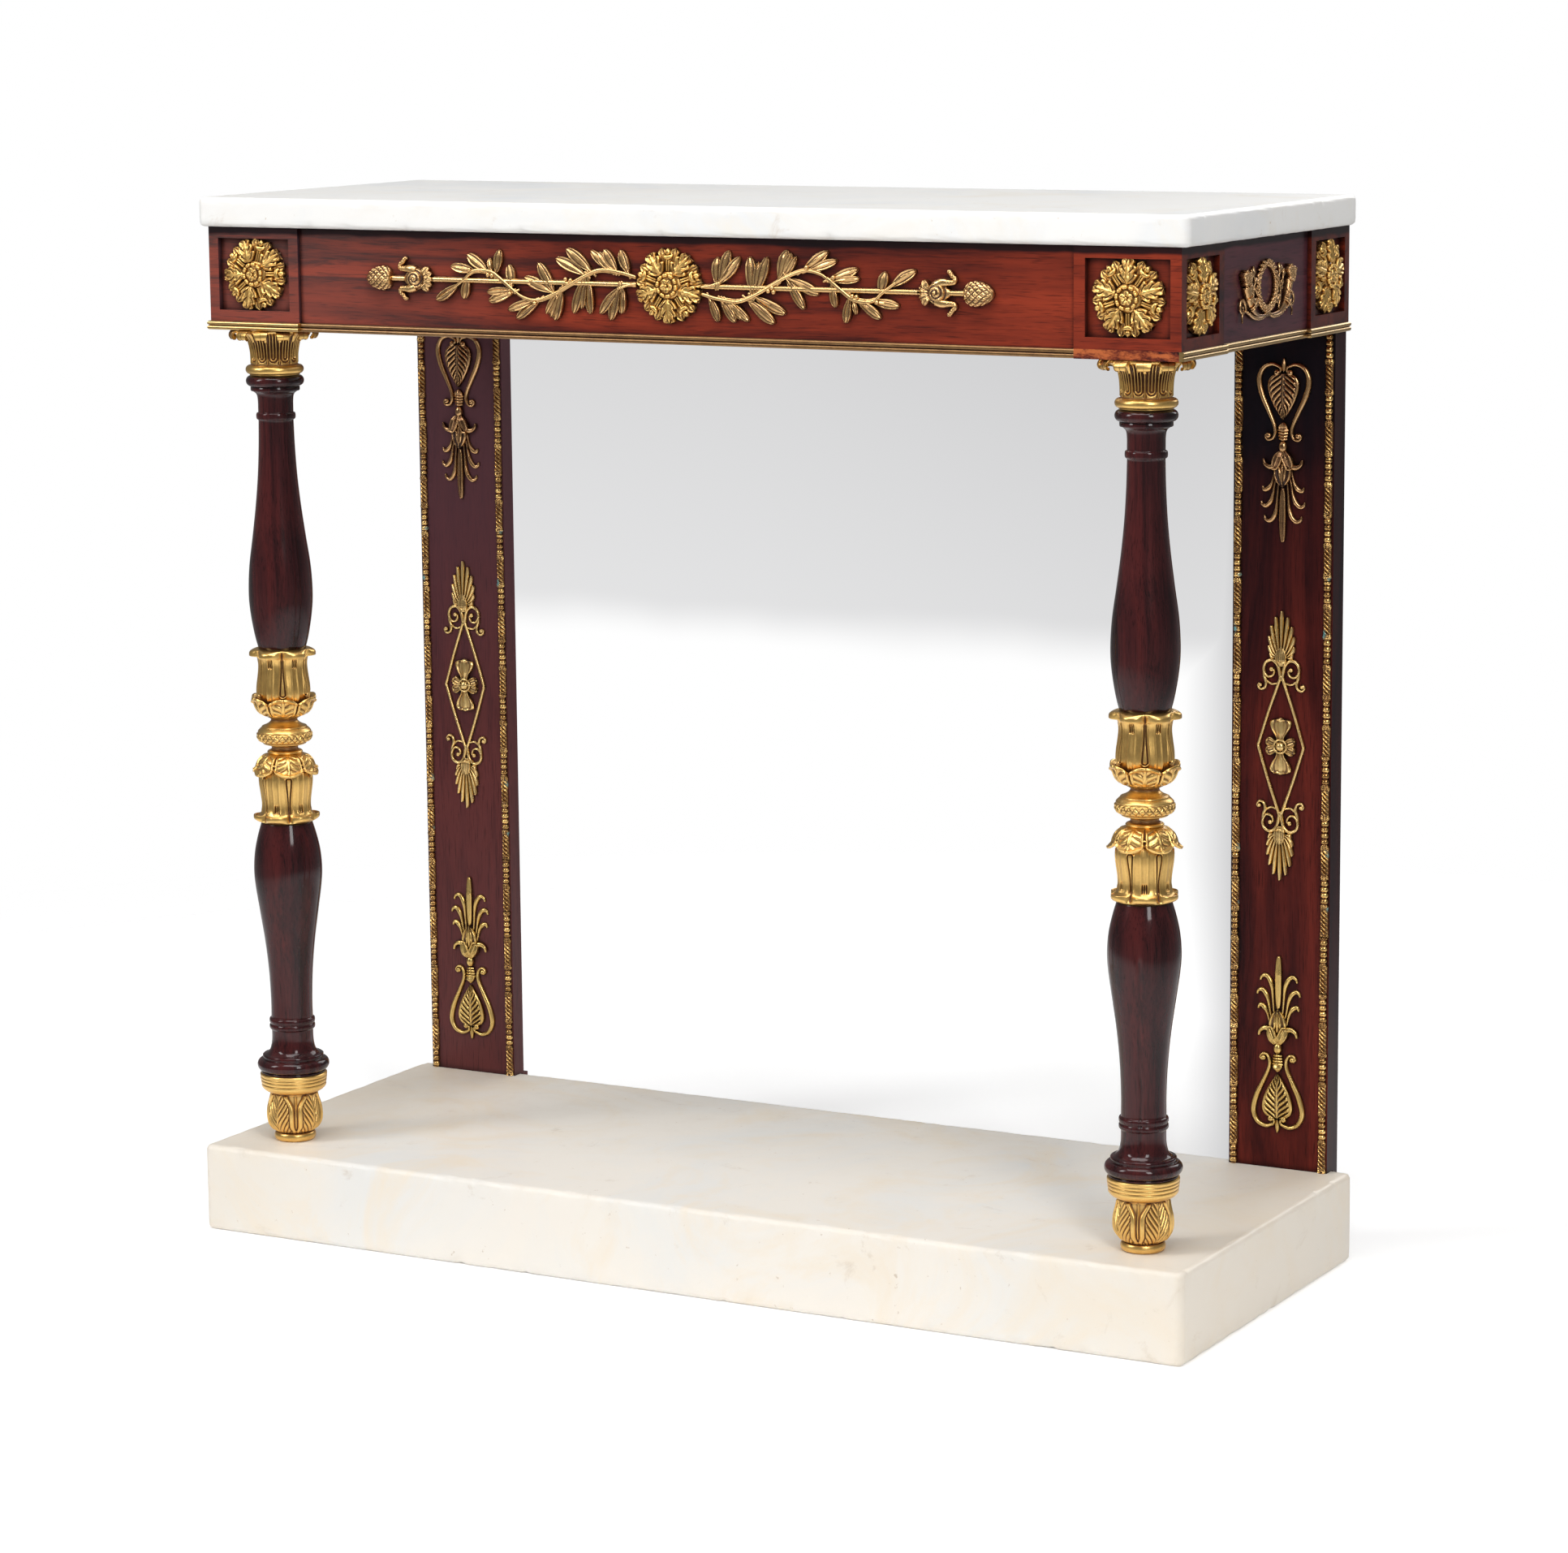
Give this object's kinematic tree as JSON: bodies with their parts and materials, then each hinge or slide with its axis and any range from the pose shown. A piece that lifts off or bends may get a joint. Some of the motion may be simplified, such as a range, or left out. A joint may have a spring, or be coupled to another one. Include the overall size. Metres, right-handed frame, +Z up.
{
  "type": "pier table",
  "caption": "Pier table: marble slab on a panelled wooden frieze with gilt mounts, two turned columns in front, two flat uprights behind, on a thick marble plinth.",
  "frame": {"origin": "on the floor, under the middle of the overall footprint", "axes": "+X to the table's right as seen from its front, +Y to the back (the wall side), +Z up"},
  "size_m": [0.936, 0.367, 0.902],
  "materials": {
    "white_marble": "polished white marble, edges softened and chipped",
    "ivory_marble": "worn ivory marble with beige patches and specks",
    "rosewood": "reddish brown veneer with dark streaks, French polish",
    "turned_rosewood": "very dark red-brown turned wood, glossy",
    "dark_rosewood": "dark purple-brown veneer, satin",
    "pine": "unpolished secondary timber, darkened with age",
    "gilt_bronze": "worn gilding over cast bronze, brown in the recesses",
    "brass_moulding": "drawn reeded strip, tarnished",
    "iron": "wrought, lightly rusted"
  },
  "bodies": {
    "root": {"back_rail": "pine", "cross_bearer": "pine", "front_centre_rosette": "gilt_bronze", "front_left_block": "rosewood", "front_left_facing": "rosewood", "front_left_rosette": "gilt_bronze", "front_moulding": "brass_moulding", "front_rail": "rosewood", "front_right_block": "rosewood", "front_right_facing": "rosewood", "front_right_rosette": "gilt_bronze", "left_bead_strips": "gilt_bronze", "left_capital": "gilt_bronze", "left_corner_moulding": "brass_moulding", "left_foot": "gilt_bronze", "left_front_side_rosette": "gilt_bronze", "left_garland": "gilt_bronze", "left_knop": "gilt_bronze", "left_lower_cup": "gilt_bronze", "left_lower_lyre_mount": "gilt_bronze", "left_lower_shaft": "turned_rosewood", "left_lozenge_flower": "gilt_bronze", "left_lozenge_mount": "gilt_bronze", "left_moulding": "brass_moulding", "left_pine_finial": "gilt_bronze", "left_rail": "rosewood", "left_rear_side_rosette": "gilt_bronze", "left_side_wreath": "gilt_bronze", "left_tie_bolt": "iron", "left_upper_cup": "gilt_bronze", "left_upper_lyre_mount": "gilt_bronze", "left_upper_shaft": "turned_rosewood", "left_upright_board": "dark_rosewood", "marble_plinth": "ivory_marble", "marble_top": "white_marble", "rear_left_block": "rosewood", "rear_left_facing": "rosewood", "rear_right_block": "rosewood", "rear_right_facing": "rosewood", "right_bead_strips": "gilt_bronze", "right_capital": "gilt_bronze", "right_foot": "gilt_bronze", "right_front_side_rosette": "gilt_bronze", "right_garland": "gilt_bronze", "right_knop": "gilt_bronze", "right_lower_cup": "gilt_bronze", "right_lower_lyre_mount": "gilt_bronze", "right_lower_shaft": "turned_rosewood", "right_lozenge_flower": "gilt_bronze", "right_lozenge_mount": "gilt_bronze", "right_moulding": "brass_moulding", "right_pine_finial": "gilt_bronze", "right_rail": "rosewood", "right_rear_side_rosette": "gilt_bronze", "right_side_wreath": "gilt_bronze", "right_tie_bolt": "iron", "right_upper_cup": "gilt_bronze", "right_upper_lyre_mount": "gilt_bronze", "right_upper_shaft": "turned_rosewood", "right_upright_board": "dark_rosewood"}
  },
  "joints": []
}
